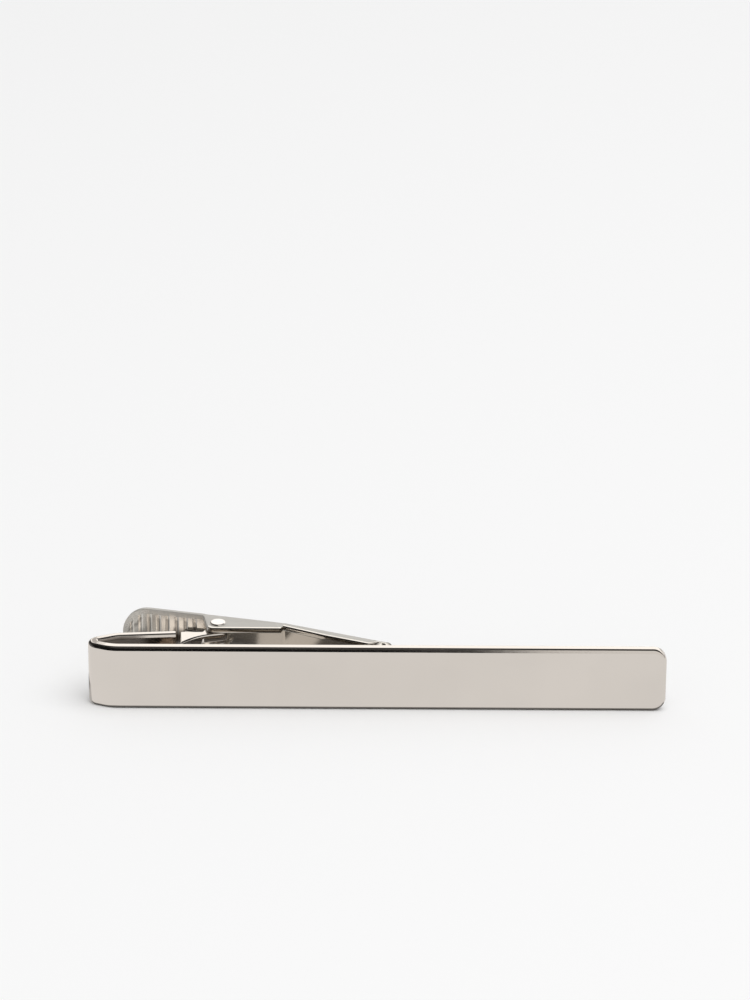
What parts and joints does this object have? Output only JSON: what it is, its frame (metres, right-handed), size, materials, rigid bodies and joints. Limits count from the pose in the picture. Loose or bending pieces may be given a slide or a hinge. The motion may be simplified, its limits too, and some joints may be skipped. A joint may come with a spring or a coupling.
{
  "type": "tie clip",
  "caption": "Polished metal tie clip with a flat front bar folded back into a short arm that carries a sprung lever with a ribbed thumb pad and a rolled jaw.",
  "frame": {"origin": "middle of the front bar's lower long edge, halfway through the strip's thickness", "axes": "+X along the bar from the fold to the free end, +Y from the front face to the back, +Z across the bar's width, up as it stands on its long edge"},
  "size_m": [0.055, 0.0107, 0.0064],
  "materials": {
    "polished_bar": "mirror polish",
    "polished_lever": "soft polish",
    "rivet_metal": "polished rivet heads",
    "spring_wire": "drawn spring wire"
  },
  "bodies": {
    "bar_body": {"folded_bar": "polished_bar", "torsion_spring": "spring_wire"},
    "lever_body": {"clip_lever": "polished_lever", "pivot_pin": "rivet_metal"}
  },
  "joints": [
    {"name": "lever_pivot", "type": "hinge", "parent": "bar_body", "child": "lever_body", "pos_m": [-0.0153, 0.0063, 0.0032], "axis": [0, 0, 1], "range_deg": [0, 38], "stiffness_Nm_per_rad": 0.01, "springref_deg": -85.94, "deforming": ["torsion_spring"]}
  ]
}
